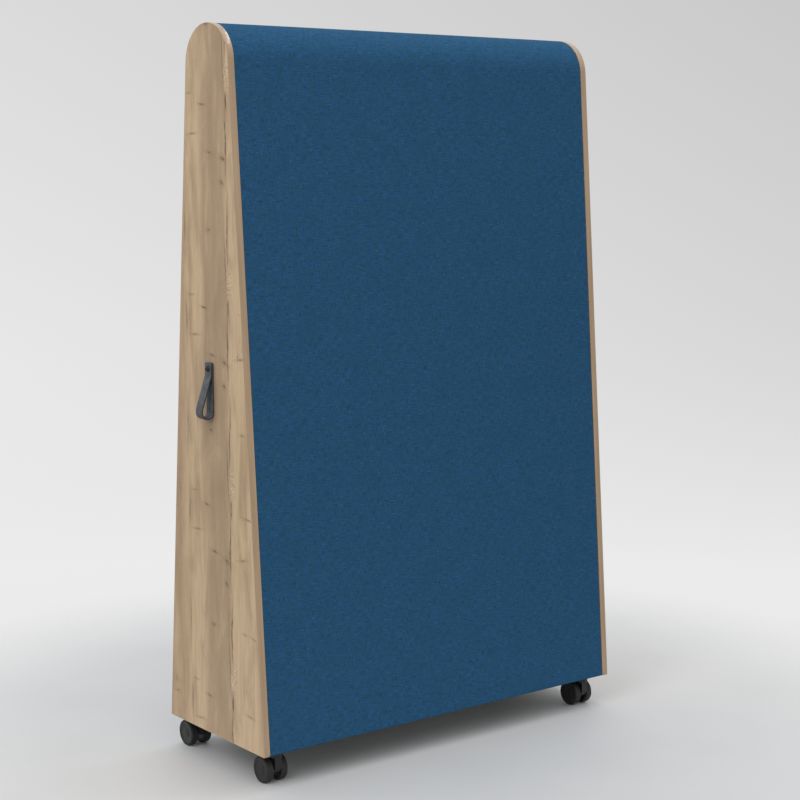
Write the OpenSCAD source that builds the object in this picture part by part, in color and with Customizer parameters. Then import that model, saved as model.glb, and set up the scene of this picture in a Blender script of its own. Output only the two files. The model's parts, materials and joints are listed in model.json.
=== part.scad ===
// Mobile acoustic partition wall: two tapered, round-topped oak end panels, an upholstered
// body between them, four twin-wheel swivel casters and a leather pull strap on one end.
// X runs along the width, Y through the depth (front is -Y), Z up from the floor.

/* [Wall] */
// Overall width over the two end panels
wall_w = 1200; // [900:10:1600]
// Height of the end panels, without the casters
panel_h = 1832; // [1500:1:2000]
// Depth of the end panels at their bottom edge
base_d = 457; // [400:1:520]
// Radius of the rounded top
top_r = 100; // [80:1:120]
// Thickness of the end boards
board_t = 19; // [16:1:22]
// Gap between the floor and the end panels
ground_gap = 90; // [84:1:100]

/* [Upholstery] */
// Thickness of the fabric cover
fabric_t = 1.6; // [1:0.1:3]
// Thickness of the foam under the fabric
foam_t = 10; // [6:1:12]
// Thickness of the hardboard skins and the bent top former
skin_t = 4; // [3:0.5:6]
// Thickness of the absorber mats behind the skins
absorber_t = 25; // [15:1:40]
// Width of the fabric hem turned in under the base board
hem_w = 15; // [10:1:15]

/* [Casters] */
// Wheel diameter over the tyres
wheel_d = 70; // [60:1:72]
// Distance between the outer faces of the twin wheels
twin_w = 62; // [56:1:64]
// Width of one wheel
wheel_w = 20; // [16:1:21]
// Distance from the swivel axis back to the axle
caster_trail = 24; // [24:1:30]
// Distance of each swivel axis from the middle of the width
caster_x = 537; // [300:1:540]
// Distance of each swivel axis from the middle of the depth
caster_y = 186; // [150:1:186]

/* [Pull strap] */
// Width of the leather
strap_w = 30; // [24:1:40]
// Thickness of the leather
strap_t = 4; // [3:0.5:4]
// Height of the clamping screw above the floor
strap_screw_z = 1058; // [900:1:1200]
// Length of the loop below the screw
strap_drop = 129.5; // [128:0.5:140]
// Distance that the loop stands out from the board
strap_out = 37.2; // [34:0.1:40]

/* [Hidden] */
$fn = 96;
// How far a cutting shape reaches past the face it cuts
cut = 1;

panel_z = ground_gap;
top_z = panel_z + panel_h;
arc_z = top_z - top_r;
inner_x = wall_w / 2 - board_t;

// Lean of the long edges: each is tangent to the rounded top
rise = arc_z - panel_z;
reach = sqrt(rise * rise + base_d * base_d / 4);
lean = acos(top_r / reach) - atan2(rise, base_d / 2);

band_t = 1;
fabric_in = 0.4;
foam_in = fabric_in + fabric_t;
skin_in = foam_in + foam_t;
frame_in = skin_in + skin_t;
side_gap = 0.5;
// Clearance between the stiff pieces and what lies on them
fit_gap = 0.1;

base_z = panel_z + fabric_t;
base_t = 18;
body_z = base_z + base_t;
batten_w = 20;
rib_t = 18;
screw_heights = [300, 700, 1100, 1500];
batten_screw_r = 2;
batten_screw_in = 10;
former_reach = 3;

dowel_r = 4;
dowel_in_panel = 10;
dowel_in_base = 22;
dowel_ys = [-60, 60];
cam_r = 7.5;
cam_depth = 12.5;
cam_inset = 24;
cam_ys = [-130, 130];
cam_bolt_r = 3.5;
cam_bolt_neck_r = 2.6;
cam_bolt_in_panel = 11;
base_mid_z = base_z + base_t / 2;

staple_pitch = 40;
staple_w = 10;
staple_wire = 0.7;
staple_leg = 8;

axle_z = wheel_d / 2;
plate_t = 2.5;
plate_size = 52;
plate_corner = 6;
plate_hole_r = 2.6;
plate_pitch = 36;
plate_z = base_z - plate_t;
wheel_gap = 0.5;
hood_w = twin_w - 2 * (wheel_w + wheel_gap);
hood_r = 31;
hood_nose = 13;
hood_nose_r = 5;
hood_boss_r = 9;
hood_skirt_z = 38;
hood_top_z = plate_z - 1;
cup_r = 17;
cup_gap = 1.5;
kingpin_r = 5;
kingpin_end_z = 50;
kingpin_room = 2;
run_gap = 0.05;
axle_r = 4;
axle_half = twin_w / 2 - 3;
tyre_t = 5;
tyre_side = 0.5;
tyre_edge_r = 2.5;
hub_r = wheel_d / 2 - tyre_t;
hub_boss_r = 11;
hub_rim_r = 27;
hub_slope = 2;
hub_recess = 3;
hub_dish = 1.5;
screw_r = 2.2;
screw_len = 14;
screw_head_r = 4;
screw_head_t = 2;

strap_gap = 0.4;
// The strap's two ends reach this far above the screw and stay together this far below it
strap_end_h = 16;
strap_merge_h = 9;
strap_pivot_h = 15;
strap_top_z = strap_screw_z + strap_end_h;
strap_stack = strap_gap + 2 * strap_t;
strap_bend_r = (strap_out - strap_gap) / 2;
strap_bend_u = strap_gap + strap_bend_r;
strap_bend_z = strap_screw_z - strap_drop + strap_bend_r;
// The front layer leaves the bend upright, leans in along an arc and a straight run, and comes upright again
strap_lean_r = 45;
strap_front_u = strap_out - strap_t / 2;
strap_merge_u = strap_stack - strap_t / 2;
strap_merge_z = strap_screw_z - strap_merge_h;
strap_lean_u = strap_front_u - strap_merge_u - 2 * strap_lean_r;
strap_lean_h = strap_merge_z - strap_bend_z;
strap_lean_d = norm([strap_lean_u, strap_lean_h]);
strap_lean = asin(2 * strap_lean_r / strap_lean_d) + atan(strap_lean_u / strap_lean_h);
strap_run = sqrt(pow(strap_lean_d, 2) - pow(2 * strap_lean_r, 2));
strap_pivot_u = strap_gap + strap_t;
strap_pivot_z = strap_screw_z - strap_pivot_h;
strap_end_r = strap_t;
tab_gap = 0.8;
tab_z = strap_pivot_z + strap_end_r + tab_gap;
strap_screw_r = 2.95;
strap_hole_r = 3.2;
strap_head_r = 5.5;
strap_head_t = 3;
strap_head_rim = 1.2;
strap_head_slope = 1.4;
socket_r = 2.3;
socket_depth = 1.8;
washer_r = 9;
washer_t = 2.4;
washer_rim = 0.7;
washer_slope = 2.5;
insert_r = 5;
insert_len = 12.5;

CASTERS = [
    ["front_left", -1, -1],
    ["front_right", 1, -1],
    ["rear_left", -1, 1],
    ["rear_right", 1, 1]
];
CASTER_PIECES = [
    "plate", "kingpin", "hood", "axle", "outer_hub", "outer_tyre", "inner_hub", "inner_tyre"
];
WALL_PIECES = [
    "left_side_panel", "right_side_panel", "left_edge_band", "right_edge_band", "base_board",
    "centre_rib", "left_front_batten", "left_rear_batten", "right_front_batten",
    "right_rear_batten", "top_former", "front_skin", "rear_skin", "front_absorber_mats",
    "rear_absorber_mats", "foam_wrap", "fabric_cover", "cover_staples", "base_dowels",
    "cam_housings", "cam_bolts", "batten_screws", "caster_screws", "strap_tab", "strap_loop",
    "strap_screw", "strap_washer", "strap_insert"
];

// Half depth of the outline at height z, with the outline set in by d
function half_depth(z, d) = (top_r - d - (z - arc_z) * sin(lean)) / cos(lean);
// Point where the long edge meets the rounded top, with the outline set in by d
function edge_end(d) = [(top_r - d) * cos(lean), arc_z + (top_r - d) * sin(lean)];

// The wall's outline in Y and Z, set in by d and cut off level at height z
module outline(d, z) {
    end = edge_end(d);
    foot = half_depth(z, d);
    translate([0, arc_z]) circle(r = top_r - d);
    polygon([[-foot, z], [foot, z], [end[0], end[1]], [-end[0], end[1]]]);
}

// A shape drawn in Y and Z, extruded along X from x1 to x2
module along_x(x1, x2) {
    translate([x1, 0, 0]) rotate([90, 0, 90]) linear_extrude(x2 - x1) children();
}

// A strip that follows one long edge between two insets; side is -1 at the front, 1 at the rear
module edge_strip(side, d1, d2, z) {
    end1 = edge_end(d1);
    end2 = edge_end(d2);
    polygon([
        [side * half_depth(z, d1), z],
        [side * end1[0], end1[1]],
        [side * end2[0], end2[1]],
        [side * half_depth(z, d2), z]
    ]);
}

module rod_x(x1, x2, y, z, r) {
    translate([x1, y, z]) rotate([0, 90, 0]) cylinder(h = x2 - x1, r = r);
}

function batten_mid(z) = half_depth(z, frame_in + batten_w / 2);

module batten_screw_set(side, x1, x2, r) {
    for (z = screw_heights) for (s = [-1, 1]) {
        a = side < 0 ? -x2 : x1;
        b = side < 0 ? -x1 : x2;
        rod_x(a, b, s * batten_mid(z), z, r);
    }
}

module side_panel(side) {
    x1 = side < 0 ? -wall_w / 2 : inner_x;
    difference() {
        along_x(x1, x1 + board_t) outline(band_t, panel_z + band_t);
        for (y = dowel_ys) panel_hole(side, y, base_mid_z, dowel_r, dowel_in_panel);
        for (y = cam_ys) panel_hole(side, y, base_mid_z, cam_bolt_r, cam_bolt_in_panel);
        batten_screw_set(side, inner_x - cut, inner_x + batten_screw_in, batten_screw_r);
        if (side < 0) strap_bores();
    }
}

// A blind hole bored into an end panel from its inner face
module panel_hole(side, y, z, r, depth) {
    x1 = side < 0 ? -inner_x - depth : inner_x - cut;
    rod_x(x1, x1 + depth + cut, y, z, r);
}

// A through hole for the strap's screw, opened out from the inside for its threaded insert
module strap_bores() {
    rod_x(-wall_w / 2 - cut, -inner_x + cut, 0, strap_screw_z, strap_hole_r);
    rod_x(-inner_x - insert_len, -inner_x + cut, 0, strap_screw_z, insert_r);
}

module left_side_panel() { color("burlywood") side_panel(-1); }
module right_side_panel() { color("burlywood") side_panel(1); }

module edge_band(side) {
    x1 = side < 0 ? -wall_w / 2 : inner_x;
    along_x(x1, x1 + board_t) difference() {
        outline(0, panel_z);
        outline(band_t, panel_z + band_t);
    }
}

module left_edge_band() { color("tan") edge_band(-1); }
module right_edge_band() { color("tan") edge_band(1); }

module base_board() {
    foot = half_depth(base_z, foam_in);
    shoulder = half_depth(body_z, foam_in);
    color("dimgray") difference() {
        along_x(-inner_x, inner_x)
            polygon([[-foot, base_z], [foot, base_z], [shoulder, body_z], [-shoulder, body_z]]);
        for (s = [-1, 1]) {
            for (y = dowel_ys) base_end_hole(s, y, dowel_r, dowel_in_base);
            for (y = cam_ys) {
                base_end_hole(s, y, cam_bolt_neck_r, cam_inset);
                translate([s * (inner_x - cam_inset), y, body_z - cam_depth])
                    cylinder(h = cam_depth + cut, r = cam_r);
            }
        }
        for (c = CASTERS) for (p = plate_holes(c))
            translate([p[0], p[1], plate_z]) cylinder(h = screw_len, r = screw_r);
    }
}

// A hole bored into an end of the base board
module base_end_hole(side, y, r, depth) {
    x1 = side < 0 ? -inner_x - cut : inner_x - depth;
    rod_x(x1, x1 + depth + cut, y, base_mid_z, r);
}

module centre_rib() {
    color("peru") along_x(-rib_t / 2, rib_t / 2) outline(frame_in, body_z);
}

// Softwood batten behind a skin, screwed to the inner face of an end panel
module batten(side, face) {
    x1 = side < 0 ? -inner_x : inner_x - batten_w;
    difference() {
        along_x(x1, x1 + batten_w) edge_strip(face, frame_in, frame_in + batten_w, body_z);
        batten_screw_set(side, inner_x - batten_w - cut, inner_x + cut, batten_screw_r);
    }
}

module left_front_batten() { color("wheat") batten(-1, -1); }
module left_rear_batten() { color("wheat") batten(-1, 1); }
module right_front_batten() { color("wheat") batten(1, -1); }
module right_rear_batten() { color("wheat") batten(1, 1); }

module batten_screws() {
    color("silver") for (s = [-1, 1])
        batten_screw_set(s, inner_x - batten_w, inner_x + batten_screw_in, batten_screw_r);
}

// Bent plywood over the rib and the battens' upper ends, cut off just above the skins
module top_former() {
    outer = edge_end(skin_in);
    inner = edge_end(frame_in);
    far_y = outer[0] * former_reach;
    far_z = arc_z + (outer[1] - arc_z) * former_reach;
    color("sienna") along_x(-inner_x, inner_x) difference() {
        translate([0, arc_z]) circle(r = top_r - skin_in - fit_gap);
        translate([0, arc_z]) circle(r = top_r - frame_in);
        translate([0, fit_gap]) polygon([
            [inner[0], inner[1]],
            [far_y, far_z],
            [far_y, arc_z - top_r],
            [-far_y, arc_z - top_r],
            [-far_y, far_z],
            [-inner[0], inner[1]]
        ]);
    }
}

module skin(face) {
    along_x(-inner_x, inner_x) edge_strip(face, skin_in + fit_gap, frame_in, body_z);
}

module front_skin() { color("saddlebrown") skin(-1); }
module rear_skin() { color("saddlebrown") skin(1); }

// Felt mats bonded behind a skin, one on each side of the rib
module absorber_mats(face) {
    for (s = [-1, 1]) {
        a = s < 0 ? -inner_x + batten_w : rib_t / 2;
        b = s < 0 ? -rib_t / 2 : inner_x - batten_w;
        along_x(a, b) edge_strip(face, frame_in, frame_in + absorber_t, body_z);
    }
}

module front_absorber_mats() { color("gray") absorber_mats(-1); }
module rear_absorber_mats() { color("gray") absorber_mats(1); }

// One foam sheet up the front, over the top and down the rear
module foam_wrap() {
    color("khaki") along_x(-inner_x, inner_x) difference() {
        outline(foam_in, body_z);
        outline(skin_in, body_z - cut);
    }
}

// One fabric piece over the foam, with its hems turned in under the base board
module fabric_cover() {
    half = half_depth(panel_z, fabric_in) - hem_w;
    x = inner_x - side_gap;
    color("steelblue") along_x(-x, x) difference() {
        outline(fabric_in, panel_z);
        outline(foam_in, base_z);
        translate([-half, panel_z - cut]) square([2 * half, fabric_t + 2 * cut]);
    }
}

// One wire staple, its crown under the hem
module staple() {
    translate([-staple_w / 2, -staple_wire / 2, -staple_wire])
        cube([staple_w, staple_wire, staple_wire]);
    for (x = [-staple_w / 2, staple_w / 2 - staple_wire])
        translate([x, -staple_wire / 2, -staple_wire])
            cube([staple_wire, staple_wire, staple_leg]);
}

module cover_staples() {
    y = half_depth(panel_z, foam_in) - hem_w / 2;
    count = floor((2 * inner_x - staple_pitch) / staple_pitch / 2);
    color("lightgray") for (s = [-1, 1]) for (i = [-count:count])
        translate([i * staple_pitch, s * y, panel_z]) staple();
}

module base_dowels() {
    color("bisque") for (s = [-1, 1]) for (y = dowel_ys) {
        x1 = s < 0 ? -inner_x - dowel_in_panel : inner_x - dowel_in_base;
        rod_x(x1, x1 + dowel_in_panel + dowel_in_base, y, base_mid_z, dowel_r);
    }
}

// Round cam locks let into the top of the base board
module cam_housings() {
    color("silver") for (s = [-1, 1]) for (y = cam_ys) difference() {
        translate([s * (inner_x - cam_inset), y, body_z - cam_depth])
            cylinder(h = cam_depth, r = cam_r);
        rod_x(s < 0 ? -inner_x : inner_x - cam_inset, s < 0 ? -inner_x + cam_inset : inner_x,
              y, base_mid_z, cam_bolt_neck_r);
    }
}

module cam_bolts() {
    color("gray") for (s = [-1, 1]) for (y = cam_ys) {
        rod_x(s < 0 ? -inner_x - cam_bolt_in_panel : inner_x,
              s < 0 ? -inner_x : inner_x + cam_bolt_in_panel, y, base_mid_z, cam_bolt_r);
        rod_x(s < 0 ? -inner_x : inner_x - cam_inset, s < 0 ? -inner_x + cam_inset : inner_x,
              y, base_mid_z, cam_bolt_neck_r);
    }
}

// ---- pull strap, drawn in U (out from the end panel) and Z ----

// A shape drawn in U and Z on the left end panel, extruded across the strap's width
module on_left_end() {
    translate([-wall_w / 2, strap_w / 2, 0]) rotate([90, 0, 0]) linear_extrude(strap_w)
        mirror([1, 0]) children();
}

// Part of a ring about the origin, between two angles less than 180 degrees apart
module ring_part(r1, r2, a1, a2) {
    far = 2 * r2;
    mid = (a1 + a2) / 2;
    intersection() {
        difference() {
            circle(r = r2);
            circle(r = r1);
        }
        polygon([
            [0, 0],
            far * [cos(a1), sin(a1)],
            far * [cos(mid), sin(mid)],
            far * [cos(a2), sin(a2)]
        ]);
    }
}

module strap_tab() {
    color("dimgray") difference() {
        on_left_end() translate([0, tab_z]) square([strap_stack, strap_top_z - tab_z]);
        rod_x(-wall_w / 2 - strap_stack - cut, -wall_w / 2, 0, strap_screw_z, strap_hole_r);
    }
}

module strap_loop() {
    inner_bend = strap_bend_r - strap_t;
    lean_in = strap_lean_r - strap_t / 2;
    lean_out = strap_lean_r + strap_t / 2;
    color("dimgray") on_left_end() {
        // back layer, against the board
        translate([strap_gap, strap_bend_z])
            square([strap_t, strap_pivot_z - strap_bend_z]);
        // bend at the bottom
        translate([strap_bend_u, strap_bend_z]) intersection() {
            difference() {
                circle(r = strap_bend_r);
                circle(r = inner_bend);
            }
            translate([-strap_out, -strap_out]) square([2 * strap_out, strap_out]);
        }
        // front layer, leaning in and coming upright again, cut off level with the pivot
        intersection() {
            union() {
                translate([strap_front_u - strap_lean_r, strap_bend_z]) {
                    ring_part(lean_in, lean_out, 0, strap_lean);
                    rotate(strap_lean) translate([lean_in, 0]) square([strap_t, strap_run]);
                }
                translate([strap_merge_u + strap_lean_r, strap_merge_z])
                    ring_part(lean_in, lean_out, 180, 180 + strap_lean);
            }
            translate([0, strap_bend_z]) square([strap_out, strap_pivot_z - strap_bend_z]);
        }
        // rounded upper end about the bending line
        translate([strap_pivot_u, strap_pivot_z]) circle(r = strap_end_r);
    }
}

module strap_washer() {
    x1 = -wall_w / 2 - strap_stack - washer_t;
    color("black") translate([x1 + washer_t, 0, strap_screw_z]) rotate([0, -90, 0])
        rotate_extrude() polygon([
            [strap_hole_r, 0],
            [washer_r, 0],
            [washer_r, washer_rim],
            [washer_r - washer_slope, washer_t],
            [strap_hole_r, washer_t]
        ]);
}

module strap_screw() {
    head_x = -wall_w / 2 - strap_stack - washer_t;
    color("black") {
        rod_x(head_x, -inner_x, 0, strap_screw_z, strap_screw_r);
        difference() {
            translate([head_x, 0, strap_screw_z]) rotate([0, -90, 0]) rotate_extrude() polygon([
                [0, 0],
                [strap_head_r, 0],
                [strap_head_r, strap_head_rim],
                [strap_head_r - strap_head_slope, strap_head_t],
                [0, strap_head_t]
            ]);
            translate([head_x, 0, strap_screw_z]) rotate([0, -90, 0])
                translate([0, 0, strap_head_t - socket_depth])
                    cylinder(h = socket_depth + cut, r = socket_r, $fn = 6);
        }
    }
}

module strap_insert() {
    color("gold") difference() {
        rod_x(-inner_x - insert_len, -inner_x, 0, strap_screw_z, insert_r);
        rod_x(-wall_w / 2, -inner_x + cut, 0, strap_screw_z, strap_screw_r);
    }
}

// ---- casters ----

// Middle of a caster's swivel axis at floor height
function swivel(c) = [c[1] * caster_x, c[2] * caster_y, 0];

function plate_holes(c) = [
    for (i = [-1, 1]) for (j = [-1, 1]) swivel(c) + plate_pitch / 2 * [i, j, 0]
];

module at_swivel(c, z) { translate(swivel(c) + [0, 0, z]) children(); }
module at_axle(c) { translate(swivel(c) + [0, caster_trail, axle_z]) children(); }

module caster_plate(c) {
    half = plate_size / 2 - plate_corner;
    color("gray") difference() {
        at_swivel(c, plate_z) union() {
            translate([-plate_size / 2, -half, 0]) cube([plate_size, 2 * half, plate_t]);
            translate([-half, -plate_size / 2, 0]) cube([2 * half, plate_size, plate_t]);
            for (i = [-1, 1]) for (j = [-1, 1])
                translate([i * half, j * half, 0]) cylinder(h = plate_t, r = plate_corner);
        }
        for (p = plate_holes(c))
            translate([p[0], p[1], plate_z - cut]) cylinder(h = plate_t + 2 * cut, r = plate_hole_r);
        at_swivel(c, plate_z - cut) cylinder(h = plate_t + 2 * cut, r = kingpin_r);
    }
}

module caster_kingpin(c) {
    color("silver") at_swivel(c, kingpin_end_z)
        cylinder(h = plate_z + plate_t - kingpin_end_z, r = kingpin_r);
}

// Outline of the hood in Y and Z about the axle: a half disc, a nose under the swivel and a boss
module hood_outline() {
    nose_y = -caster_trail - hood_nose;
    top = hood_top_z - axle_z;
    skirt = hood_skirt_z - axle_z;
    intersection() {
        circle(r = hood_r);
        translate([-hood_r, -skirt]) square([2 * hood_r, hood_r + skirt]);
    }
    circle(r = hood_boss_r);
    translate([nose_y, skirt + hood_nose_r]) square([2 * hood_nose, top - skirt - hood_nose_r]);
    translate([nose_y + hood_nose_r, skirt]) square([2 * hood_nose, 2 * hood_nose_r]);
    translate([nose_y + hood_nose_r, skirt + hood_nose_r]) circle(r = hood_nose_r);
}

module caster_hood(c) {
    cup_z = wheel_d + cup_gap;
    color("darkslategray") difference() {
        union() {
            at_axle(c) along_x(-hood_w / 2, hood_w / 2) hood_outline();
            at_swivel(c, cup_z) cylinder(h = hood_top_z - cup_z, r = cup_r);
        }
        at_swivel(c, kingpin_end_z - kingpin_room)
            cylinder(h = plate_z - kingpin_end_z + 2 * kingpin_room, r = kingpin_r + run_gap);
        at_axle(c) rod_x(-hood_w, hood_w, 0, 0, axle_r);
    }
}

module caster_axle(c) {
    color("silver") at_axle(c) rod_x(-axle_half, axle_half, 0, 0, axle_r);
}

// Wheel hub about its own axis: rim, dished web and boss
module hub(c, side) {
    color("black") at_axle(c) rotate([0, side * 90, 0]) translate([0, 0, hood_w / 2 + wheel_gap])
        difference() {
            rotate_extrude() polygon([
                [0, 0],
                [hub_boss_r, 0],
                [hub_boss_r + hub_slope, hub_recess],
                [hub_rim_r - hub_slope, hub_recess],
                [hub_rim_r, 0],
                [hub_r, 0],
                [hub_r, wheel_w],
                [hub_rim_r, wheel_w],
                [hub_rim_r - hub_slope, wheel_w - hub_dish],
                [hub_boss_r + hub_slope, wheel_w - hub_dish],
                [hub_boss_r, wheel_w],
                [0, wheel_w]
            ]);
            translate([0, 0, -cut])
                cylinder(h = axle_half - hood_w / 2 + cut, r = axle_r + run_gap);
        }
}

module tyre(c, side) {
    start = hood_w / 2 + wheel_gap + tyre_side;
    width = wheel_w - 2 * tyre_side;
    crown = wheel_d / 2;
    color("dimgray") at_axle(c) rotate([0, side * 90, 0]) translate([0, 0, start])
        rotate_extrude() {
            translate([hub_r, 0]) square([tyre_t - tyre_edge_r, width]);
            translate([hub_r, tyre_edge_r]) square([tyre_t, width - 2 * tyre_edge_r]);
            for (z = [tyre_edge_r, width - tyre_edge_r])
                translate([crown - tyre_edge_r, z]) circle(r = tyre_edge_r);
        }
}

module caster_screws() {
    color("silver") for (c = CASTERS) for (p = plate_holes(c)) {
        translate([p[0], p[1], plate_z]) cylinder(h = screw_len, r = screw_r);
        translate([p[0], p[1], plate_z - screw_head_t])
            cylinder(h = screw_head_t, r = screw_head_r);
    }
}

left_side_panel();
right_side_panel();
left_edge_band();
right_edge_band();
base_board();
centre_rib();
left_front_batten();
left_rear_batten();
right_front_batten();
right_rear_batten();
top_former();
front_skin();
rear_skin();
front_absorber_mats();
rear_absorber_mats();
foam_wrap();
fabric_cover();
cover_staples();
base_dowels();
cam_housings();
cam_bolts();
batten_screws();
caster_screws();
strap_tab();
strap_loop();
strap_screw();
strap_washer();
strap_insert();
for (c = CASTERS) {
    caster_plate(c);
    caster_kingpin(c);
    caster_hood(c);
    caster_axle(c);
    hub(c, c[1]);
    tyre(c, c[1]);
    hub(c, -c[1]);
    tyre(c, -c[1]);
}
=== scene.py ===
"""Looks of a mobile acoustic partition wall around its CAD frame.

Metres; X along the width, front -Y, Z up.
"""

import json
import math

import bmesh
import bpy
import numpy as np
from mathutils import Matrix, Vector

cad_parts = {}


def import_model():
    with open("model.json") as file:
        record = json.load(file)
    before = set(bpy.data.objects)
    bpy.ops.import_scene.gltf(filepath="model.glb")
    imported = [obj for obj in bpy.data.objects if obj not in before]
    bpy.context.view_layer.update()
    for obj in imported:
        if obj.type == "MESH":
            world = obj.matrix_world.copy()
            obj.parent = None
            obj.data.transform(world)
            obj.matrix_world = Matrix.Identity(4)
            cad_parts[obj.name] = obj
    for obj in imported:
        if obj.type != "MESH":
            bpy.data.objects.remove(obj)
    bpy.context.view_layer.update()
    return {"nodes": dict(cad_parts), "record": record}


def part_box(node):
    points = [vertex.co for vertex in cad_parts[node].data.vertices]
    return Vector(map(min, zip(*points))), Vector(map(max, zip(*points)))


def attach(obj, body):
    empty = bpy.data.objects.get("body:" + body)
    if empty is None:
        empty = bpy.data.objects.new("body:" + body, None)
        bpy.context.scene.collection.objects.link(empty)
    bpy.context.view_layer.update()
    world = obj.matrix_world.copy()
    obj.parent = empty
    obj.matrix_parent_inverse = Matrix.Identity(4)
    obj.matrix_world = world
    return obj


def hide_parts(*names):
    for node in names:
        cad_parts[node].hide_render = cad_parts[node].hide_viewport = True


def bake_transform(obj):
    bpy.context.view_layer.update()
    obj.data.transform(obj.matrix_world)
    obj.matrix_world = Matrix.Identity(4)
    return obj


MM = 0.001

# signs of the two ends (X) and the two faces (Y)
SIDE_NAME = {-1: "left", 1: "right"}
FACE_NAME = {-1: "front", 1: "rear"}

# ---- the wall's outline, from the frame ----

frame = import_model()
nodes = frame["nodes"]

BAND_LOW, BAND_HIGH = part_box("left_edge_band")
TOP_R = 100 * MM
FOOT_HALF = BAND_HIGH.y
PANEL_Z = BAND_LOW.z
TOP_Z = BAND_HIGH.z
ARC_Z = TOP_Z - TOP_R
END_X = -BAND_LOW.x
INNER_X = -BAND_HIGH.x
COVER_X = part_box("fabric_cover")[1].x
ARC_RISE = ARC_Z - PANEL_Z
LEAN = math.acos(TOP_R / math.hypot(ARC_RISE, FOOT_HALF)) - math.atan2(ARC_RISE, FOOT_HALF)

# each layer's thickness, and how far its outer face lies inside the outline
FABRIC_IN = 0.4 * MM
FABRIC_T = 1.6 * MM
FOAM_IN = FABRIC_IN + FABRIC_T
FOAM_T = 10 * MM
SKIN_T = 4 * MM
MAT_T = 25 * MM
BAND_T = 1 * MM
HEM_W = 15 * MM


def half_depth(z, inset):
    """Half depth of the wall's outline at height z, with the outline set in by inset."""
    return (TOP_R - inset - (z - ARC_Z) * math.sin(LEAN)) / math.cos(LEAN)


def arc(centre, radius, start, end, count):
    """Points and normals on an arc in (y, z), its end left out."""
    for a in np.linspace(start, end, count, endpoint=False):
        n = np.array([math.cos(a), math.sin(a)])
        yield np.array(centre) + radius * n, n


def line(a, b, count):
    """Points and left-hand normals on a straight line in (y, z), its end left out."""
    a, b = np.array(a), np.array(b)
    t = (b - a) / np.linalg.norm(b - a)
    for k in np.linspace(0, 1, count, endpoint=False):
        yield a + k * (b - a), np.array([-t[1], t[0]])


def outline(inset, foot_z, corner, hem, steps):
    """The wall's outline from its front hem over the top to its rear hem.

    Returns points, outward normals and lengths along it.
    """
    long_steps, top_steps, corner_steps, hem_steps = steps
    foot_centre = (-half_depth(foot_z + corner, inset + corner), foot_z + corner)
    flank = math.pi - LEAN
    out = np.array([math.cos(flank), math.sin(flank)])
    long_start = np.array(foot_centre) + corner * out
    long_end = np.array([0, ARC_Z]) + (TOP_R - inset) * out
    front = list(line((foot_centre[0] + hem, foot_z), (foot_centre[0], foot_z), hem_steps))
    front += list(arc(foot_centre, corner, 1.5 * math.pi, flank, corner_steps))
    front += list(line(long_start, long_end, long_steps))
    front += list(arc((0, ARC_Z), TOP_R - inset, flank, math.pi / 2, top_steps))
    top = (np.array([0, ARC_Z + TOP_R - inset]), np.array([0, 1.0]))
    rear = [(p * [-1, 1], n * [-1, 1]) for p, n in reversed(front)]
    points = np.array([p for p, n in front + [top] + rear])
    normals = np.array([n for p, n in front + [top] + rear])
    # a line's own normal points inwards at the hem, so all are turned outwards here
    outwards = np.einsum("ij,ij->i", normals, points - [0, 1.0]) > 0
    normals[~outwards] *= -1
    lengths = np.concatenate([[0], np.cumsum(np.linalg.norm(np.diff(points, axis=0), axis=1))])
    return points, normals, lengths


# ---- mesh building ----


def mesh_piece(name, verts, faces, uvs=None, smooth=True):
    """A mesh object from vertices, faces and one (u, v) for each face corner, in metres."""
    mesh = bpy.data.meshes.new(name)
    mesh.from_pydata([tuple(v) for v in verts], [], [tuple(f) for f in faces])
    if uvs is not None:
        layer = mesh.uv_layers.new(name="cut")
        layer.data.foreach_set("uv", np.array(uvs, np.float32).ravel())
    if smooth:
        mesh.shade_smooth()
    mesh.validate()
    obj = bpy.data.objects.new(name, mesh)
    bpy.context.scene.collection.objects.link(obj)
    return obj


def loft(name, rings, across, along):
    """A closed tube of quads between rings, with both ends capped.

    across and along give each point's place in the cut, for the UV map.
    """
    rings = np.asarray(rings)
    count, width = rings.shape[:2]
    verts = rings.reshape(-1, 3)
    faces, uvs = [], []
    for i in range(count - 1):
        k = i + 1
        for j in range(width):
            m = (j + 1) % width
            faces.append((i * width + j, i * width + m, k * width + m, k * width + j))
            u1, u2, v1, v2 = across[j], across[j + 1], along[i], along[i + 1]
            uvs += [(u1, v1), (u2, v1), (u2, v2), (u1, v2)]
    for i, order in ((0, -1), (count - 1, 1)):
        ring = list(range(width))[::order]
        faces.append([i * width + j for j in ring])
        uvs += [(across[j], along[i]) for j in ring]
    return mesh_piece(name, verts, faces, uvs)


def rounded_box(w, t, r, steps=3):
    """A closed outline of a w by t box with corners of radius r, centred, as (a, b) points."""
    points = []
    for a, (x, y) in enumerate([(1, 1), (-1, 1), (-1, -1), (1, -1)]):
        for k in range(steps + 1):
            turn = (a + k / steps) * math.pi / 2
            points.append((x * (w / 2 - r) + r * math.cos(turn),
                           y * (t / 2 - r) + r * math.sin(turn)))
    return points


def subdivided(section, longest):
    """A closed section with points added along its long sides, about longest apart."""
    fine = []
    for k, (a, b) in enumerate(section):
        c = section[(k + 1) % len(section)]
        count = int(abs(c[0] - a) / longest)
        fine += [(a + (c[0] - a) * i / (count + 1), b) for i in range(count + 1)]
    return fine


def outward(obj):
    """Turns the faces outwards."""
    work = bmesh.new()
    work.from_mesh(obj.data)
    bmesh.ops.recalc_face_normals(work, faces=work.faces)
    work.to_mesh(obj.data)
    work.free()
    return obj


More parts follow.
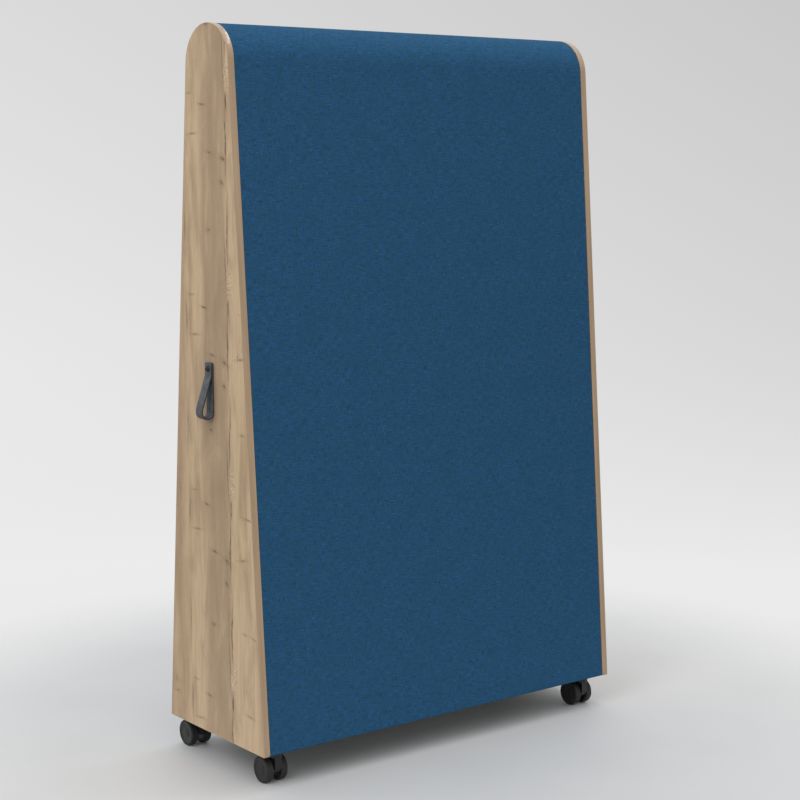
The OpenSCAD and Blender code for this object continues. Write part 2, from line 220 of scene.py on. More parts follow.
def soften(obj, width):
    """Rounds a CAD node's sharp edges with modifiers, which leave its own mesh alone."""
    weld = obj.modifiers.new("weld", "WELD")
    weld.merge_threshold = 1e-6
    bevel = obj.modifiers.new("round", "BEVEL")
    bevel.width = width
    bevel.segments = 3
    bevel.limit_method = "ANGLE"
    bevel.angle_limit = math.radians(40)
    smooth = obj.modifiers.new("normals", "WEIGHTED_NORMAL")
    smooth.keep_sharp = False


# ---- materials ----


class Finish:
    """A procedural material. Each method adds a node and returns its output socket."""

    def __init__(self, name):
        self.material = bpy.data.materials.new(name)
        self.material.use_nodes = True
        self.tree = self.material.node_tree
        self.shader = self.tree.nodes["Principled BSDF"]

    def put(self, socket, value):
        if isinstance(value, bpy.types.NodeSocket):
            self.tree.links.new(value, socket)
        else:
            socket.default_value = value

    def node(self, kind, inputs, out=0, **settings):
        made = self.tree.nodes.new("ShaderNode" + kind)
        for key, value in settings.items():
            setattr(made, key, value)
        for key, value in inputs.items():
            self.put(made.inputs[key], value)
        return made.outputs[out]

    def place(self):
        return self.node("TexCoord", {}, out="Object")

    def cut(self):
        return self.node("UVMap", {}, uv_map="cut")

    def split(self, vector):
        made = self.tree.nodes.new("ShaderNodeSeparateXYZ")
        self.put(made.inputs[0], vector)
        return made.outputs

    def join(self, x, y, z):
        return self.node("CombineXYZ", {0: x, 1: y, 2: z})

    def math(self, operation, a, b=0.0, c=0.0):
        return self.node("Math", {0: a, 1: b, 2: c}, operation=operation)

    def scaled(self, vector, x, y, z):
        return self.node("VectorMath", {0: vector, 1: (x, y, z)}, operation="MULTIPLY")

    def noise(self, vector, scale=1.0, detail=3.0, rough=0.5, twist=0.0):
        inputs = {"Vector": vector, "Scale": scale, "Detail": detail,
                  "Roughness": rough, "Distortion": twist}
        return self.node("TexNoise", inputs)

    def grain(self, across, up, across_scale, up_scale, seed, detail=3.0, rough=0.5, twist=0.0):
        """Noise over two coordinates, each with its own scale."""
        spot = self.join(self.math("MULTIPLY", across, across_scale),
                         self.math("MULTIPLY", up, up_scale), seed)
        return self.noise(spot, 1.0, detail, rough, twist)

    def ellipse(self, spot, at_u, at_v, half_u, half_v, tilt=0.0):
        """Distance from the middle of an ellipse, which is 1 on its edge."""
        inputs = {"Vector": spot, "Location": (at_u, at_v, 0),
                  "Rotation": (0, 0, math.radians(tilt)), "Scale": (half_u, half_v, 1)}
        inside = self.node("Mapping", inputs, vector_type="TEXTURE")
        return self.node("VectorMath", {0: inside}, out=1, operation="LENGTH")

    def cells(self, vector, scale, feature="F1"):
        inputs = {"Vector": vector, "Scale": scale}
        return self.node("TexVoronoi", inputs, out="Distance", feature=feature)

    def range(self, value, low, high, to_low=0.0, to_high=1.0, smooth=True):
        inputs = {"Value": value, "From Min": low, "From Max": high,
                  "To Min": to_low, "To Max": to_high}
        kind = "SMOOTHSTEP" if smooth else "LINEAR"
        return self.node("MapRange", inputs, interpolation_type=kind)

    def blend(self, factor, a, b):
        made = self.tree.nodes.new("ShaderNodeMix")
        made.data_type = "RGBA"
        self.put(made.inputs["Factor"], factor)
        self.put(made.inputs[6], self.colour(a))
        self.put(made.inputs[7], self.colour(b))
        return made.outputs[2]

    def colour(self, value):
        return (*value, 1.0) if isinstance(value, tuple) and len(value) == 3 else value

    def bump(self, height, depth, strength):
        return self.node("Bump", {"Height": height, "Distance": depth, "Strength": strength})

    def done(self, colour, roughness, normal=None, **fixed):
        self.put(self.shader.inputs["Base Color"], colour)
        self.put(self.shader.inputs["Roughness"], roughness)
        if normal is not None:
            self.put(self.shader.inputs["Normal"], normal)
        for key, value in fixed.items():
            self.shader.inputs[key.replace("_", " ")].default_value = value
        return self.material


def srgb(r, g, b):
    """A linear colour from 8-bit sRGB values."""
    return tuple(c / 255 / 12.92 if c <= 10 else ((c / 255 + 0.055) / 1.055) ** 2.4
                 for c in (r, g, b))


# One repeat of the oak decor is this high, and starts at this height
REPEAT = 0.51
REPEAT_START = 0.487

# How far the marks sway and how ragged their outline is
SWAY = 14 * MM
RAGGED = 5 * MM

# Dark marks in one repeat, in mm and degrees:
# (y, height in the repeat, half width, half height, tilt, strength)
MARKS = [
    (28, 215, 12, 2.4, 6, 0.75),
    (75, 143, 16, 1.9, -4, 0.55),
    (-8, 96, 12, 2.6, 10, 0.65),
    (-63, 21, 9, 5, 35, 0.6),
    (-138, 95, 15, 2.2, -9, 0.55),
    (-128, 100, 2.5, 6, 10, 0.4),
    (2, 412, 7, 4.5, 0, 0.5),
    (-166, 204, 15, 2, 5, 0.5),
    (-146, 415, 8, 2.5, 0, 0.35),
    (-186, 411, 9, 2, 15, 0.35),
    (-70, 80, 14, 6, 20, 0.5),
    (-210, 100, 7, 2, 0, 0.4),
    (197, 223, 6, 8, 0, 0.5),
    (192, 190, 8, 3, 0, 0.5),
    (90, 245, 9, 1.8, 0, 0.3),
    (-86, 218, 4.5, 26, 0, 0.8),
    (-83, 115, 2.8, 92, 0, 0.85),
    (-87, 405, 2.5, 92, 1, 0.75),
    (-75, 318, 2.3, 80, -2, 0.6),
    (114, 187, 2.8, 42, 0, 0.6),
    (117, 417, 2.4, 42, 0, 0.45),
    (-226, 220, 2.8, 28, 0, 0.6),
]
# Wavy figure beside the split, in mm: (y, height in the repeat, half width, half height)
ROSETTE = (-92, 286, 17, 50)

THREAD_PITCH = 1.3 * MM

# Between these distances from the strap's middle its face turns into its cut edge
STRAP_FACE = 14.2 * MM
STRAP_EDGE = 15.2 * MM


def oak_grain(f, across, up, seed):
    """Oak's fine figure from two coordinates in metres.

    Returns streaks, fibres, flecks of the rays and pores.
    """
    def figure(across_scale, up_scale, detail=3.0, offset=0.0):
        return f.grain(across, up, across_scale, up_scale, seed + offset, detail)

    return (figure(52, 2.2, 4.0), figure(330, 6.0, offset=3),
            figure(70, 300, 2.0, 5), figure(800, 38.0, 2.0, 7))


def oak_board(name, mirror, lift, seed):
    """Oak decor of an end panel; mirror, lift and seed make the two boards differ."""
    f = Finish(name)
    _, y0, z0 = f.split(f.place())
    y, z = f.math("MULTIPLY", y0, mirror), f.math("ADD", z0, lift)
    slow = f.grain(y, z, 9, 2.2, seed)
    zone = f.math("MULTIPLY_ADD", f.math("SUBTRACT", slow, 0.5), 0.07, y)
    middle = f.math("MULTIPLY", f.range(zone, -0.088, -0.068),
                    f.range(zone, 0.016, 0.056, 1.0, 0.0))
    rear = f.range(zone, 0.105, 0.150)
    front = f.range(zone, -0.235, -0.180, 1.0, 0.0)
    streaks, fibres, rays, pores = oak_grain(f, zone, z, seed)
    cloud = f.grain(y, z, 20, 4.5, seed + 2, 4.0, 0.6, 0.4)
    light, grey, brown = srgb(205, 178, 143), srgb(176, 150, 121), srgb(180, 151, 119)
    colour = f.blend(middle, light, grey)
    colour = f.blend(f.math("MULTIPLY", f.math("MAXIMUM", rear, front), 0.75), colour, brown)
    colour = f.blend(f.range(cloud, 0.42, 0.68, 0.0, 0.60), colour, srgb(158, 133, 107))
    colour = f.blend(f.range(cloud, 0.46, 0.28, 0.0, 0.45), colour, srgb(211, 185, 151))
    colour = f.blend(f.range(streaks, 0.44, 0.74, 0.0, 0.28), colour, srgb(155, 127, 99))
    colour = f.blend(f.range(streaks, 0.44, 0.26, 0.0, 0.16), colour, srgb(213, 187, 154))
    colour = f.blend(f.range(fibres, 0.46, 0.74, 0.0, 0.26), colour, srgb(143, 115, 88))
    colour = f.blend(f.range(rays, 0.58, 0.74, 0.0, 0.25), colour, srgb(210, 188, 158))
    pore = f.range(pores, 0.62, 0.76)
    colour = f.blend(f.math("MULTIPLY", pore, 0.30), colour, srgb(129, 102, 77))
    # marks: ellipses in a slightly ragged plane, repeated up the board
    ragged = f.grain(y, z, 160, 110, seed + 4)
    sway = f.grain(y, z, 18, 15, seed + 6, 2.0)
    shift = f.math("MULTIPLY_ADD", f.math("SUBTRACT", sway, 0.5), SWAY,
                   f.math("MULTIPLY", f.math("SUBTRACT", ragged, 0.5), RAGGED))
    height = f.math("FLOORED_MODULO", f.math("SUBTRACT", z, REPEAT_START), REPEAT)
    spot = f.join(f.math("ADD", y, shift), f.math("MULTIPLY_ADD", ragged, RAGGED, height), 0.0)
    dark, near = 0.0, 9.0
    for at_y, at_z, half_w, half_h, tilt, strength in MARKS:
        away = f.ellipse(spot, at_y * MM, at_z * MM + RAGGED / 2, half_w * MM, half_h * MM, tilt)
        dark = f.math("MAXIMUM", dark, f.range(away, 0.35, 1.15, strength, 0.0))
        near = f.math("MINIMUM", near, away)
    broken = f.grain(y, z, 120, 42, seed + 8)
    dark = f.math("MULTIPLY", dark, f.range(broken, 0.34, 0.54, 0.4, 1.0))
    colour = f.blend(f.range(near, 0.8, 3.2, 0.30, 0.0), colour, srgb(147, 118, 92))
    colour = f.blend(dark, colour, srgb(66, 52, 42))
    # wavy figure beside the split
    window = f.range(f.ellipse(spot, *[v * MM for v in ROSETTE]), 0.4, 1.2, 1.0, 0.0)
    ripple = f.grain(y, z, 90, 210, seed + 9, 3.0, 0.6, 1.5)
    crest = f.math("MULTIPLY", window, f.range(ripple, 0.49, 0.60))
    trough = f.math("MULTIPLY", window, f.range(ripple, 0.47, 0.36, 0.0, 0.6))
    colour = f.blend(crest, colour, srgb(217, 193, 161))
    colour = f.blend(trough, colour, srgb(134, 110, 88))
    sunk = f.math("ADD", f.math("MULTIPLY", pore, 0.5), dark)
    relief = f.math("SUBTRACT", f.math("MULTIPLY", fibres, 0.5), sunk)
    rough = f.range(streaks, 0.3, 0.7, 0.42, 0.52)
    return f.done(colour, rough, f.bump(relief, 0.2 * MM, 0.5), Specular_IOR_Level=0.4)


def oak_edging():
    """Oak strip with a satin lacquer, its grain along the strip."""
    f = Finish("oak_edging")
    u, v, _ = f.split(f.cut())
    streaks, fibres, _, pores = oak_grain(f, u, v, 4.0)
    wide = f.grain(u, v, 90, 1.4, 2.0)
    colour = f.blend(f.range(wide, 0.35, 0.65), srgb(171, 143, 113), srgb(184, 157, 125))
    colour = f.blend(f.range(streaks, 0.4, 0.7, 0.0, 0.4), colour, srgb(149, 121, 94))
    colour = f.blend(f.range(fibres, 0.46, 0.74, 0.0, 0.35), colour, srgb(145, 118, 91))
    knot = f.grain(u, v, 60, 16, 6.0, 2.0)
    colour = f.blend(f.range(knot, 0.66, 0.74, 0.0, 0.5), colour, srgb(119, 95, 73))
    relief = f.math("SUBTRACT", f.math("MULTIPLY", fibres, 0.5), f.range(pores, 0.62, 0.76))
    return f.done(colour, f.range(streaks, 0.3, 0.7, 0.32, 0.42), f.bump(relief, 0.12 * MM, 0.4),
                  Specular_IOR_Level=0.5, Coat_Weight=0.5, Coat_Roughness=0.18)


def blue_fabric():
    """Plain weave of melange yarn, its threads along and across the cut."""
    f = Finish("blue_fabric")
    u, v, _ = f.split(f.cut())
    warp, weft = f.grain(u, v, 380, 60, 0.0, 2.0), f.grain(u, v, 48, 400, 5.0, 2.0)
    fleck = f.grain(u, v, 130, 420, 7.0, 2.0)
    cloud, patch = f.grain(u, v, 14, 14, 2.0), f.grain(u, v, 55, 70, 9.0)
    teal, blue = srgb(49, 92, 120), srgb(50, 92, 132)
    colour = f.blend(f.range(patch, 0.36, 0.64), teal, blue)
    colour = f.blend(f.range(warp, 0.50, 0.74, 0.0, 0.75), colour, srgb(26, 66, 96))
    colour = f.blend(f.range(weft, 0.52, 0.76, 0.0, 0.70), colour, srgb(28, 68, 94))
    colour = f.blend(f.range(weft, 0.44, 0.24, 0.0, 0.75), colour, srgb(54, 116, 173))
    colour = f.blend(f.range(fleck, 0.62, 0.78, 0.0, 0.60), colour, srgb(75, 138, 190))
    colour = f.blend(f.range(cloud, 0.35, 0.7, 0.0, 0.22), colour, srgb(37, 83, 114))
    # each thread is a ridge, and warp and weft take turns on top
    turns = math.pi / THREAD_PITCH
    a = f.math("SINE", f.math("MULTIPLY_ADD", patch, 2.2, f.math("MULTIPLY", u, turns)))
    b = f.math("SINE", f.math("MULTIPLY_ADD", cloud, 3.0, f.math("MULTIPLY", v, turns)))
    over = f.math("MULTIPLY", a, b)
    up_thread = f.math("MULTIPLY", f.math("ABSOLUTE", a), f.range(over, -1, 1, 0.45, 1.0))
    across_thread = f.math("MULTIPLY", f.math("ABSOLUTE", b), f.range(over, -1, 1, 1.0, 0.45))
    weave = f.math("MAXIMUM", up_thread, across_thread)
    # painted shade: darker in the gaps between the threads and where a thread dips under the other
    colour = f.blend(f.range(weave, 0.35, 0.9, 0.35, 0.0), colour, srgb(8, 27, 44))
    slub = f.math("ADD", f.math("MULTIPLY", warp, 0.6), f.math("MULTIPLY", weft, 0.6))
    height = f.math("ADD", weave, slub)
    return f.done(colour, 0.9, f.bump(height, 0.3 * MM, 0.6), Specular_IOR_Level=0.04)


def plain_wood(name, dark, light, grain):
    """Raw timber or fibreboard for the pieces inside; grain is its scale along X, Y and Z."""
    f = Finish(name)
    p = f.place()
    rings = f.noise(f.scaled(p, *grain), 1.0, 3.0, 0.55, 0.4)
    fibres = f.noise(f.scaled(p, *[g * 7 for g in grain]), 1.0, 3.0)
    colour = f.blend(f.range(rings, 0.3, 0.7), dark, light)
    colour = f.blend(f.range(fibres, 0.45, 0.75, 0.0, 0.4), colour, dark)
    return f.done(colour, f.range(fibres, 0.3, 0.7, 0.6, 0.75), f.bump(fibres, 0.2 * MM, 0.5))


def black_board():
    """Black laminate of the base board."""
    f = Finish("black_board")
    p = f.place()
    speck = f.noise(p, 900.0, 3.0)
    smudge = f.noise(p, 14.0, 3.0)
    colour = f.blend(f.range(speck, 0.4, 0.7), srgb(30, 30, 31), srgb(52, 52, 53))
    return f.done(colour, f.range(smudge, 0.3, 0.7, 0.42, 0.58), f.bump(speck, 0.08 * MM, 0.5))


def felt():
    """Grey needled felt of the absorber mats."""
    f = Finish("absorber_felt")
    p = f.place()
    fibre = f.noise(f.scaled(p, 600, 600, 180), 1.0, 4.0, 0.6, 1.2)
    tuft = f.noise(p, 60.0, 3.0)
    colour = f.blend(f.range(fibre, 0.35, 0.7), srgb(92, 92, 95), srgb(150, 150, 153))
    colour = f.blend(f.range(tuft, 0.4, 0.7, 0.0, 0.4), colour, srgb(70, 70, 74))
    return f.done(colour, 0.95, f.bump(f.math("ADD", fibre, tuft), 0.8 * MM, 0.6), Sheen_Weight=0.3)


def open_foam():
    """Yellowish open-cell foam."""
    f = Finish("foam")
    p = f.place()
    pore = f.cells(p, 900.0)
    age = f.noise(p, 9.0, 3.0)
    colour = f.blend(f.range(age, 0.3, 0.7), srgb(214, 205, 176), srgb(226, 214, 176))
    # painted shade: darker in the hollow of each pore
    colour = f.blend(f.range(pore, 0.0, 0.35, 0.45, 0.0), colour, srgb(150, 138, 104))
    return f.done(colour, 0.9, f.bump(pore, 0.5 * MM, 0.7))


def leather():
    """Dark grey pebbled leather of the strap."""
    f = Finish("strap_leather")
    p = f.cut()
    u, v, _ = f.split(p)
    pebble = f.cells(f.join(u, v, 0.0), 1150.0, feature="SMOOTH_F1")
    crease = f.grain(u, v, 160, 700, 1.0)
    cloud = f.noise(p, 60.0, 3.0)
    colour = f.blend(f.range(cloud, 0.3, 0.7), srgb(74, 76, 80), srgb(96, 98, 103))
    colour = f.blend(f.range(pebble, 0.15, 0.5, 0.35, 0.0), colour, srgb(44, 46, 50))
    # the cut edges are darker than the face
    edge = f.range(f.math("ABSOLUTE", u), STRAP_FACE, STRAP_EDGE)
    colour = f.blend(f.math("MULTIPLY", edge, 0.8), colour, srgb(40, 44, 52))
    height = f.math("ADD", f.math("MULTIPLY", pebble, -0.7), f.math("MULTIPLY", crease, 0.5))
    rough = f.range(pebble, 0.1, 0.6, 0.42, 0.6)
    return f.done(colour, rough, f.bump(height, 0.25 * MM, 0.6), Specular_IOR_Level=0.4)


def metal(name, base, rough, scale, metallic=1.0):
    """Brushed or plated metal; scale is that of its brush marks along X, Y and Z."""
    f = Finish(name)
    p = f.place()
    brush = f.noise(f.scaled(p, *scale), 1.0, 3.0, 0.6)
    blotch = f.noise(p, 120.0, 3.0)
    dull = tuple(c * 0.72 for c in base)
    colour = f.blend(f.range(blotch, 0.35, 0.7), base, dull)
    return f.done(colour, f.range(brush, 0.3, 0.7, rough, rough + 0.18),
                  f.bump(brush, 0.05 * MM, 0.4), Metallic=metallic)


def caster_plastic():
    """Black moulded plastic with a little dust."""
    f = Finish("caster_plastic")
    p = f.place()
    spark = f.noise(p, 1400.0, 2.0)
    smear = f.noise(p, 70.0, 3.0)
    dust = f.math("MULTIPLY", f.range(smear, 0.45, 0.75), f.range(spark, 0.4, 0.7))
    colour = f.blend(f.math("MULTIPLY", dust, 0.35), srgb(22, 22, 24), srgb(44, 45, 47))
    return f.done(colour, f.range(smear, 0.3, 0.7, 0.34, 0.48), f.bump(spark, 0.06 * MM, 0.5))


def caster_tyre():
    """Black scuffed tyre."""
    f = Finish("caster_tyre")
    p = f.place()
    grit = f.noise(p, 900.0, 3.0)
    scuff = f.noise(f.scaled(p, 260, 60, 60), 1.0, 3.0)
    colour = f.blend(f.range(scuff, 0.4, 0.75, 0.0, 0.6), srgb(28, 28, 29), srgb(54, 53, 52))
    return f.done(colour, f.range(grit, 0.3, 0.7, 0.62, 0.78), f.bump(grit, 0.1 * MM, 0.6))


FINISHES = {
    "oak_board": oak_board("oak_board", 1, 0.0, 0.0),
    "oak_edging": oak_edging(),
    "black_board": black_board(),
    "raw_timber": plain_wood("raw_timber", srgb(196, 160, 112), srgb(226, 196, 150), (60, 60, 5)),
    "hardboard": plain_wood("hardboard", srgb(104, 70, 44), srgb(134, 94, 60), (90, 90, 90)),
    "absorber_felt": felt(),
    "foam": open_foam(),
    "blue_fabric": blue_fabric(),
    "strap_leather": leather(),
    "zinc_steel": metal("zinc_steel", (0.62, 0.62, 0.60), 0.28, (400, 400, 400)),
    "black_steel": metal("black_steel", (0.028, 0.029, 0.031), 0.34, (500, 500, 500), metallic=0.3),
    "brass_insert": metal("brass_insert", (0.72, 0.54, 0.24), 0.25, (600, 200, 200)),
    "caster_plastic": caster_plastic(),
    "caster_tyre": caster_tyre(),
}


def dress(obj, slot):
    """Gives a piece its finish and its material slot."""
    obj.data.materials.clear()
    obj.data.materials.append(FINISHES[slot])


for part in frame["record"]["subparts"]:
    dress(nodes[part["node"]], part["material_slot"])
# the right board is cut from another place of the decor
nodes["right_side_panel"].data.materials[0] = oak_board("oak_board_right", -1, 0.23, 12.0)

# ---- edge bands ----


def edge_band(side):
    """The 1 mm oak strip round an end panel, its outer edges eased."""
    ease, foot_corner, under_foot = 0.7 * MM, 1.5 * MM, 200 * MM
    across = INNER_X + (END_X - INNER_X) / 2
    width = END_X - INNER_X
    # the outer half of a rounded box
    section = [(a, b) for a, b in rounded_box(width, BAND_T * 2, ease) if b > -0.1 * MM]
    outer, normals, lengths = outline(0.0, PANEL_Z, foot_corner, under_foot, (60, 40, 4, 10))
    rings = []
    for (y, z), (ny, nz) in zip(outer, normals):
        rings.append([(side * (across + a), y - ny * (BAND_T - b), z - nz * (BAND_T - b))
                      for a, b in section])
    u = [a for a, b in section]
    return outward(loft(SIDE_NAME[side] + "_oak_edging", rings, u + u[:1], list(lengths)))


for side, name in SIDE_NAME.items():
    band = edge_band(side)
    dress(band, "oak_edging")
    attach(band, "wall")
    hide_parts(name + "_edge_band")


# ---- fabric cover, foam and mats ----

# how far the cloth crowns over the foam, and the height of the slow waves in it
CROWN = 0.5 * MM
WAVE = 0.12 * MM


def crowned(x, along):
    """How far the stuffed face stands out at x and at a length along the cut."""
    over_x = 1 - abs(x / COVER_X) ** 6
    wave = math.sin(along * 9.1 + 1.7 * math.sin(x * 5.3)) * math.sin(x * 11.7 + 0.8)
    return CROWN * over_x + WAVE * wave * over_x


def fabric_cover():
    """One piece of cloth up the front, over the top and down the rear.

    Its side edges are rolled in beside the end panels. Returns the piece, its cut width and length.
    """
    roll_r, roll_steps, flat_steps = 2.6 * MM, 7, 97
    half_t, corner, unroll = FABRIC_T / 2, 3 * MM, 20 * MM
    points, normals, lengths = outline(FABRIC_IN + half_t, PANEL_Z + half_t, corner,
                                       HEM_W - corner, (150, 26, 8, 4))
    flat_x = COVER_X - half_t - roll_r
    # middle surface across the width as (x, inset, normal x, normal out), from -X to +X
    middle = []
    for a in np.linspace(math.pi, math.pi / 2, roll_steps, endpoint=False):
        nx, nz = math.cos(a), math.sin(a)
        middle.append((-flat_x + roll_r * nx, roll_r - roll_r * nz, nx, nz))
    for x in np.linspace(-flat_x, flat_x, flat_steps):
        middle.append((x, 0.0, 0.0, 1.0))
    middle += [(-x, d, -nx, nz) for x, d, nx, nz in reversed(middle[:roll_steps])]
    rings = []
    for (y, z), (ny, nz), s in zip(points, normals, lengths):
        # the roll flattens and the crown ends near the hems
        hem = min(s, lengths[-1] - s)
        roll = 0.15 + 0.85 * min(1.0, max(0.0, (hem - HEM_W) / unroll))
        outer, inner = [], []
        for x, inset, side_n, out_n in middle:
            lift = crowned(x, s) if hem > 50 * MM else 0
            for sign, store in ((1, outer), (-1, inner)):
                out = lift - inset * roll + sign * half_t * out_n
                store.append((x + sign * half_t * side_n, y + ny * out, z + nz * out))
        rings.append(outer + inner[::-1])
    u = [m[0] for m in middle]
    u = u + u[::-1] + u[:1]
    obj = outward(loft("woven_cover", rings, u, list(lengths)))
    return obj, 2 * COVER_X, float(lengths[-1])


cover, cover_w, cover_l = fabric_cover()
dress(cover, "blue_fabric")
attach(cover, "wall")
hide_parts("fabric_cover")


def foam_pad():
    """The foam sheet bent over the wall's outline, its edges rounded."""
    edge, side_gap = 2 * MM, 4 * MM
    foot_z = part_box("foam_wrap")[0].z
    points, normals, lengths = outline(FOAM_IN, foot_z, edge, 1 * MM, (90, 24, 3, 1))
    section = subdivided(rounded_box(2 * (COVER_X - side_gap), FOAM_T, edge), 50 * MM)
    rings = []
    for (y, z), (ny, nz) in zip(points, normals):
        rings.append([(a, y + ny * (b - FOAM_T / 2), z + nz * (b - FOAM_T / 2)) for a, b in section])
    u = [a for a, b in section]
    return outward(loft("foam_pad", rings, u + u[:1], list(lengths)))


foam = foam_pad()
dress(foam, "foam")
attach(foam, "wall")
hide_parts("foam_wrap")


def absorber_mat(node, face, side):
    """One felt mat behind a skin, between an end panel's batten and the rib."""
    low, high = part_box(node)
    gap, top_gap, edge, rows, bulge = 1 * MM, 8 * MM, 5 * MM, 60, 0.9 * MM
    x1, x2 = sorted((side * (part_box("centre_rib")[1].x + gap), side * (high.x - gap)))
    inset = FOAM_IN + FOAM_T + SKIN_T + 0.2 * MM
    foot_z, top_z = low.z + gap, high.z - top_gap
    section = subdivided(rounded_box(x2 - x1, MAT_T, edge), 40 * MM)
    out = np.array([math.cos(math.pi - LEAN), math.sin(math.pi - LEAN)])
    rings, lengths = [], []
    for k in range(rows + 1):
        z = foot_z + (top_z - foot_z) * k / rows
        # both ends are thinner, and the free face is a little uneven
        near_end = min(k, rows - k) / rows
        pinch = 1 - 0.35 * max(0.0, 1 - near_end * 40)
        ring = []
        for a, b in section:
            loose = bulge * math.sin(z * 11 + a * 9) * math.sin(z * 5 + 2) if b < 0 else 0
            depth = (MAT_T / 2 - b) * pinch + loose
            y = -half_depth(z, inset) - out[0] * depth
            ring.append(((x1 + x2) / 2 + a, -face * y, z - out[1] * depth))
        rings.append(ring)
        lengths.append(z)
    u = [a for a, b in section]
    name = f"{FACE_NAME[face]}_{SIDE_NAME[side]}_felt_mat"
    mat = outward(loft(name, rings, u + u[:1], lengths))
    dress(mat, "absorber_felt")
    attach(mat, "wall")
    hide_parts(node)


for face, name in FACE_NAME.items():
    for side in SIDE_NAME:
        absorber_mat(name + "_absorber_mats", face, side)

# ---- pull strap ----

STRAP_LOW, STRAP_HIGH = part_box("strap_loop")
TAB_LOW, TAB_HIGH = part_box("strap_tab")
STRAP_W = STRAP_HIGH.y - STRAP_LOW.y
STRAP_T = 4 * MM
STRAP_GAP = 0.4 * MM
STRAP_CORNER = 5 * MM
STRAP_LEAN_R = 45 * MM


def strap_line():
    """Centreline of the strap in U (out from the board) and Z.

    It runs down the back, round the bend and up the front: an arc, a straight run and an arc back
    to the stack under the screw.
    """
    out_most = -END_X - STRAP_LOW.x
    bend_r = (out_most - STRAP_GAP) / 2 - STRAP_T / 2
    back_u = STRAP_GAP + STRAP_T / 2
    front_u = out_most - STRAP_T / 2
    bend_z = STRAP_LOW.z + bend_r + STRAP_T / 2
    stack_u = back_u + STRAP_T
    merge_z = TAB_LOW.z + 1.2 * MM
    side, rise = front_u - stack_u - 2 * STRAP_LEAN_R, merge_z - bend_z
    lean = math.asin(2 * STRAP_LEAN_R / math.hypot(side, rise)) + math.atan(side / rise)
    lower, upper = (front_u - STRAP_LEAN_R, bend_z), (stack_u + STRAP_LEAN_R, merge_z)
    reach = STRAP_LEAN_R * np.array([math.cos(lean), math.sin(lean)])
    start, end = np.array(lower) + reach, np.array(upper) - reach
    tips = [TAB_HIGH.z - k * MM for k in (0, 0.3, 1, 2, 3.3)]
    straight_z = TAB_HIGH.z - STRAP_CORNER
    points = [(back_u, z) for z in tips]
    points += [(back_u, z) for z in np.linspace(straight_z, bend_z, 26, endpoint=False)]
    middle_u = (back_u + front_u) / 2
    points += [(middle_u - bend_r * math.cos(a), bend_z - bend_r * math.sin(a))
               for a in np.linspace(0, math.pi, 22, endpoint=False)]
    points += [tuple(p) for p, n in arc(lower, STRAP_LEAN_R, 0, lean, 8)]
    points += [tuple(start + k * (end - start)) for k in np.linspace(0, 1, 16, endpoint=False)]
    points += [tuple(p) for p, n in arc(upper, STRAP_LEAN_R, math.pi + lean, math.pi, 8)]
    points += [(stack_u, z) for z in np.linspace(merge_z, straight_z, 7)]
    points += [(stack_u, z) for z in reversed(tips)]
    return np.array(points)


def strap():
    """The leather strap, one piece with both ends under the screw."""
    path = strap_line()
    steps = np.gradient(path, axis=0)
    steps /= np.linalg.norm(steps, axis=1)[:, None]
    clear, edge = 0.06 * MM, 0.9 * MM
    # a hair thinner than the leather, so that the two layers under the screw stay apart
    section = rounded_box(STRAP_W, STRAP_T - clear, edge)
    lengths = np.concatenate([[0], np.cumsum(np.linalg.norm(np.diff(path, axis=0), axis=1))])
    rings = []
    for (u, z), (tu, tz), s in zip(path, steps, lengths):
        # the corners of both ends are rounded
        to_end = min(s, lengths[-1] - s, STRAP_CORNER)
        bow = math.sqrt(STRAP_CORNER ** 2 - (STRAP_CORNER - to_end) ** 2)
        slim = (STRAP_W / 2 - STRAP_CORNER + bow) / (STRAP_W / 2)
        rings.append([(-END_X - u + b * tz, a * slim, z + b * tu) for a, b in section])
    a_of = [a for a, b in section]
    return outward(loft("pull_strap", rings, a_of + a_of[:1], list(lengths)))


pull_strap = strap()
dress(pull_strap, "strap_leather")
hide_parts("strap_tab", "strap_loop")
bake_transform(pull_strap)

# ---- rounding of the carried-over CAD nodes ----

for name in ("strap_screw", "strap_washer"):
    soften(nodes[name], 0.35 * MM)
for corner in ("front_left", "front_right", "rear_left", "rear_right"):
    soften(nodes[corner + "_hood"], 1.2 * MM)
    soften(nodes[corner + "_plate"], 0.3 * MM)
    for which in ("outer", "inner"):
        soften(nodes[f"{corner}_{which}_hub"], 0.5 * MM)

# ---- floor, light and camera ----

# the floor fades out between these distances from the wall's middle
FADE_FROM, FADE_TO = 0.95, 1.9


def floor():
    """A large pale disc that fades into the backdrop away from the wall."""
    sides, radius = 96, 7.0
    turns = [2 * math.pi * k / sides for k in range(sides)]
    verts = [(radius * math.cos(a), radius * math.sin(a), 0) for a in turns]
    obj = mesh_piece("floor", verts, [list(range(sides))], smooth=False)
    f = Finish("floor")
    p = f.place()
    x, y, _ = f.split(p)
    away = f.math("SQRT", f.math("ADD", f.math("MULTIPLY", x, x), f.math("MULTIPLY", y, y)))
    mottle = f.noise(p, 3.0, 3.0)
    colour = f.blend(f.range(mottle, 0.3, 0.7), (0.615, 0.61, 0.605), (0.635, 0.63, 0.625))
    f.done(colour, 0.6)
    clear = f.tree.nodes.new("ShaderNodeBsdfTransparent")
    mix = f.tree.nodes.new("ShaderNodeMixShader")
    f.put(mix.inputs[0], f.range(away, FADE_FROM, FADE_TO))
    f.put(mix.inputs[1], f.shader.outputs[0])
    f.put(mix.inputs[2], clear.outputs[0])
    f.tree.links.new(mix.outputs[0], f.tree.nodes["Material Output"].inputs[0])
    obj.data.materials.append(f.material)


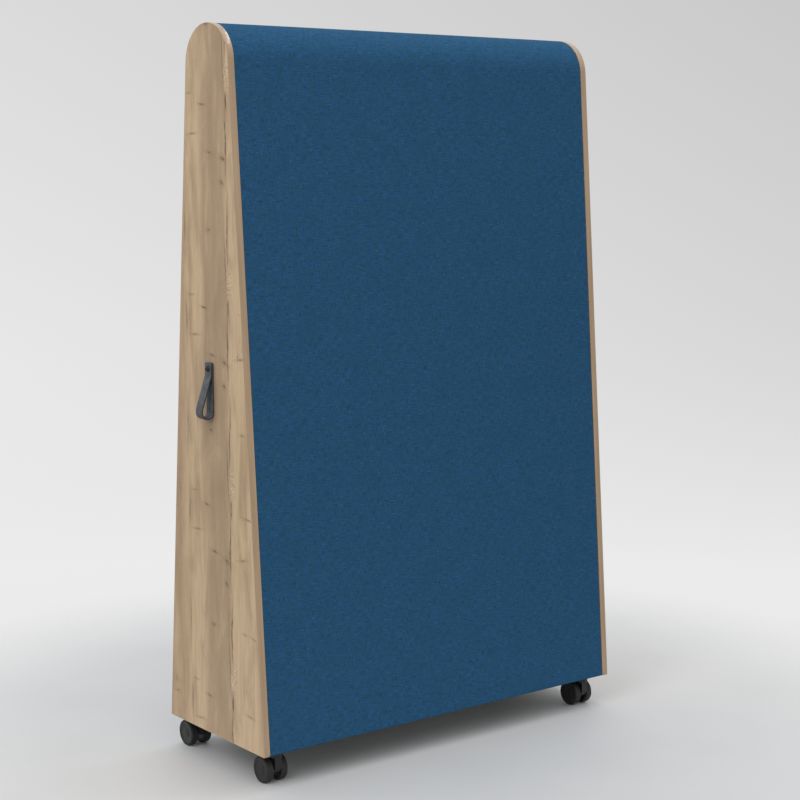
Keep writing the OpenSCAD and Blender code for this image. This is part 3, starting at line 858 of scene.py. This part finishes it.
def backdrop():
    """A far grey dome that glows with painted light, brightest near the floor, and gives no light of
    its own.
    """
    bpy.ops.mesh.primitive_uv_sphere_add(segments=96, ring_count=48, radius=14)
    obj = bpy.context.object
    obj.name = "backdrop"
    obj.data.shade_smooth()
    f = Finish("backdrop")
    x, y, z = f.split(f.place())
    up = f.math("POWER", f.range(z, -2.6, 3.2, 0.0, 1.0, smooth=False), 0.75)
    # a little darker to the right of the photo's view
    right = f.math("ADD", f.math("SUBTRACT", x, y), 2.45)
    side = f.math("MULTIPLY", right, f.range(z, -3.4, 0.0, 0.0, -0.0105))
    low = f.range(z, -9.0, -3.0, -0.3, 0.0)
    # the glow's level is painted light and painted shade: brighter near the floor, darker to one
    # side
    level = f.math("ADD", f.math("ADD", f.math("MULTIPLY_ADD", up, -0.185, 0.83), low), side)
    light = f.node("Emission", {"Color": f.join(level, level, level), "Strength": 1.0})
    f.tree.links.new(light, f.tree.nodes["Material Output"].inputs[0])
    obj.data.materials.append(f.material)
    for ray in ("diffuse", "glossy", "transmission", "volume_scatter", "shadow"):
        setattr(obj, "visible_" + ray, False)


def area_light(name, at, target, width, depth, power):
    """A rectangular lamp at a place, aimed at a target."""
    data = bpy.data.lights.new(name, "AREA")
    data.shape = "RECTANGLE"
    data.size = width
    data.size_y = depth
    data.energy = power
    obj = bpy.data.objects.new(name, data)
    obj.location = at
    obj.rotation_euler = (Vector(target) - Vector(at)).to_track_quat("-Z", "Y").to_euler()
    bpy.context.scene.collection.objects.link(obj)


def world():
    """Soft light, strongest from above and weak below the horizon."""
    made = bpy.data.worlds.new("studio")
    made.use_nodes = True
    tree = made.node_tree
    back = tree.nodes["Background"]
    place = tree.nodes.new("ShaderNodeTexCoord")
    split = tree.nodes.new("ShaderNodeSeparateXYZ")
    fade = tree.nodes.new("ShaderNodeMapRange")
    for key, value in (("From Min", 0.0), ("From Max", 0.5), ("To Min", 0.38), ("To Max", 1.0)):
        fade.inputs[key].default_value = value
    tree.links.new(place.outputs["Generated"], split.inputs[0])
    tree.links.new(split.outputs["Z"], fade.inputs["Value"])
    tree.links.new(fade.outputs[0], back.inputs["Strength"])
    back.inputs["Color"].default_value = (0.96, 0.98, 1.0, 1)
    bpy.context.scene.world = made


def camera():
    """The photo's view: its place, turn and lens as solved from the end panels' outlines."""
    data = bpy.data.cameras.new("camera")
    data.sensor_width = 36
    data.lens = 79.73
    data.shift_y = 0.00445
    data.clip_end = 60
    obj = bpy.data.objects.new("camera", data)
    obj.location = (-2.9545, -3.8411, PANEL_Z + 1.502)
    obj.rotation_euler = (math.radians(90 - 7.931), 0, math.radians(-37.648))
    bpy.context.scene.collection.objects.link(obj)
    bpy.context.scene.camera = obj


floor()
backdrop()
area_light("key", (-3.6, -1.6, 3.2), (0, 0, 0.9), 2.4, 2.4, 55)
# a long strip overhead, which lights the rounded top
area_light("strip", (1.3, -0.4, 4.15), (-0.3, -0.1, 1.6), 2.4, 0.35, 22)
world()
camera()
bpy.context.scene.view_settings.view_transform = "Standard"
